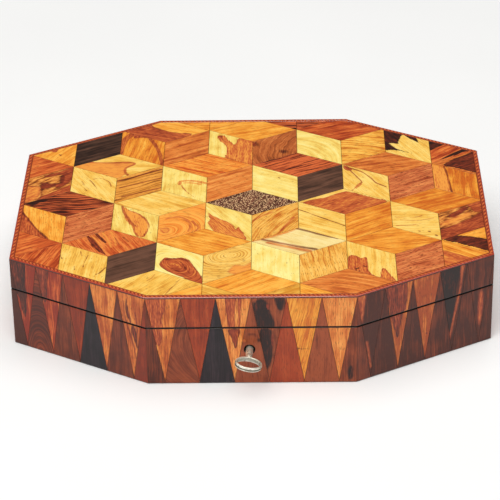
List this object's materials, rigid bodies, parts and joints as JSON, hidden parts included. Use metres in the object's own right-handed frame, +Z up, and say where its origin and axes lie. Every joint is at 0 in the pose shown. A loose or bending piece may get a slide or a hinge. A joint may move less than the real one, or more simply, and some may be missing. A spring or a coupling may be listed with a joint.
{
  "type": "parquetry box",
  "caption": "Elongated octagonal wooden box with a hinged lid, tumbling-block parquetry on top, long triangle veneers round the sides, and a lock with its key.",
  "frame": {"origin": "middle of the flat octagonal underside", "axes": "+Z up; the front, with the lock and the key, faces -Y; +X to the right, seen from the front"},
  "size_m": [0.305, 0.2647, 0.0625],
  "materials": {
    "carcase_wood": "planed mahogany, lightly polished",
    "side_veneer": "french polished rosewood, ebony and fruitwood veneers",
    "parquetry": "french polished mixed veneers",
    "banding": "french polished padauk and boxwood banding",
    "brass": "worn satin brass",
    "key_steel": "handled, softly polished steel"
  },
  "bodies": {
    "base": {"base_bottom": "carcase_wood", "base_veneer_back": "side_veneer", "base_veneer_back_left": "side_veneer", "base_veneer_back_right": "side_veneer", "base_veneer_front": "side_veneer", "base_veneer_front_left": "side_veneer", "base_veneer_front_right": "side_veneer", "base_veneer_left": "side_veneer", "base_veneer_right": "side_veneer", "base_wall_back": "carcase_wood", "base_wall_back_left": "carcase_wood", "base_wall_back_right": "carcase_wood", "base_wall_front": "carcase_wood", "base_wall_front_left": "carcase_wood", "base_wall_front_right": "carcase_wood", "base_wall_left": "carcase_wood", "base_wall_right": "carcase_wood", "hinge_left_base_leaf": "brass", "hinge_left_pin": "brass", "hinge_right_base_leaf": "brass", "hinge_right_pin": "brass", "key": "key_steel", "lock": "brass"},
    "lid": {"hinge_left_lid_leaf": "brass", "hinge_right_lid_leaf": "brass", "lid_banding": "banding", "lid_board": "carcase_wood", "lid_parquetry": "parquetry", "lid_veneer_back": "side_veneer", "lid_veneer_back_left": "side_veneer", "lid_veneer_back_right": "side_veneer", "lid_veneer_front": "side_veneer", "lid_veneer_front_left": "side_veneer", "lid_veneer_front_right": "side_veneer", "lid_veneer_left": "side_veneer", "lid_veneer_right": "side_veneer", "lid_wall_back": "carcase_wood", "lid_wall_back_left": "carcase_wood", "lid_wall_back_right": "carcase_wood", "lid_wall_front": "carcase_wood", "lid_wall_front_left": "carcase_wood", "lid_wall_front_right": "carcase_wood", "lid_wall_left": "carcase_wood", "lid_wall_right": "carcase_wood", "lock_link_plate": "brass"}
  },
  "joints": [
    {"name": "lid_hinge", "type": "hinge", "parent": "base", "child": "lid", "pos_m": [0, 0.1175, 0.04045], "axis": [-1, 0, 0], "range_deg": [0, 100]}
  ]
}
